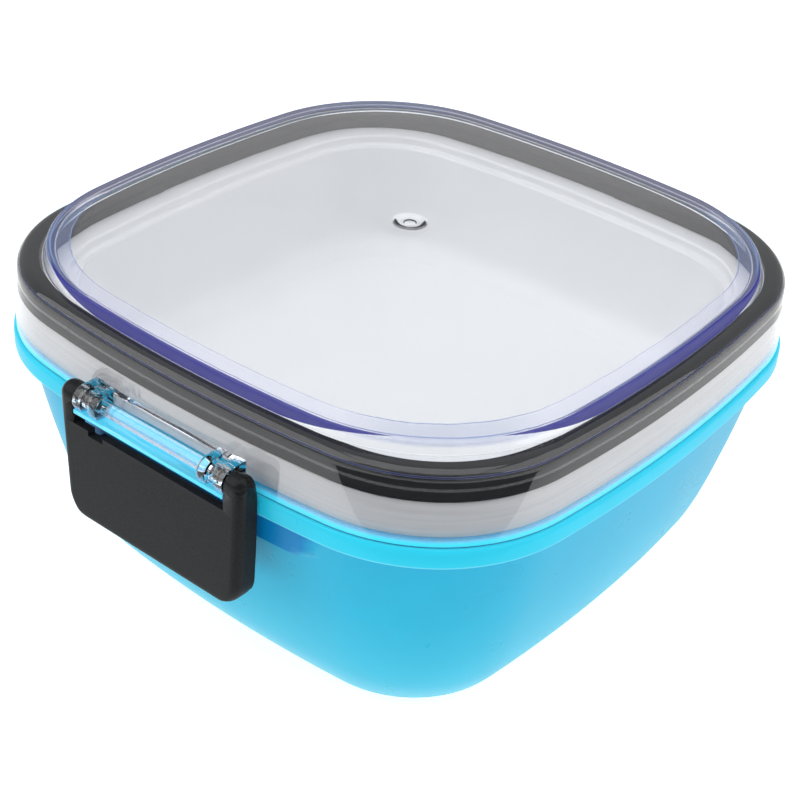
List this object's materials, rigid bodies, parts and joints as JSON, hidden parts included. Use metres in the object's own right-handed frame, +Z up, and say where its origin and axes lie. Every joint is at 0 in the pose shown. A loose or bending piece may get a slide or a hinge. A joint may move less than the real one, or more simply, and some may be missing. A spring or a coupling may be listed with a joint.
{
  "type": "snap lid food container",
  "caption": "Squarish food container: translucent bowl, lift-in tray, clear raised lid with a dark seal ring, and hinged side latches.",
  "frame": {"origin": "centre of the footprint, on the underside of the bowl", "axes": "+Z up; -Y is the side with the front latch, +Y the rear latch"},
  "size_m": [0.1714, 0.183, 0.0937],
  "materials": {
    "bowl_blue": "semi-gloss translucent polypropylene",
    "tray_white": "semi-gloss white polypropylene",
    "seal_dark": "smooth silicone",
    "lid_clear": "polished clear styrene copolymer",
    "latch_black": "fine matt with glossy upper corners"
  },
  "bodies": {
    "bowl": {"bowl": "bowl_blue"},
    "tray": {"tray": "tray_white"},
    "lid": {"lid": "lid_clear", "gasket": "seal_dark"},
    "latch_front": {"latch_front": "latch_black"},
    "latch_rear": {"latch_rear": "latch_black"}
  },
  "joints": [
    {"name": "tray_lift", "type": "slide", "parent": "bowl", "child": "tray", "axis": [0, 0, 1], "range_m": [0, 0.08]},
    {"name": "lid_lift", "type": "slide", "parent": "tray", "child": "lid", "axis": [0, 0, 1], "range_m": [0, 0.1]},
    {"name": "latch_front_swing", "type": "hinge", "parent": "lid", "child": "latch_front", "pos_m": [0, -0.0881, 0.0696], "axis": [-1, 0, 0], "range_deg": [0, 135]},
    {"name": "latch_rear_swing", "type": "hinge", "parent": "lid", "child": "latch_rear", "pos_m": [0, 0.0881, 0.0696], "axis": [1, 0, 0], "range_deg": [0, 135]}
  ]
}
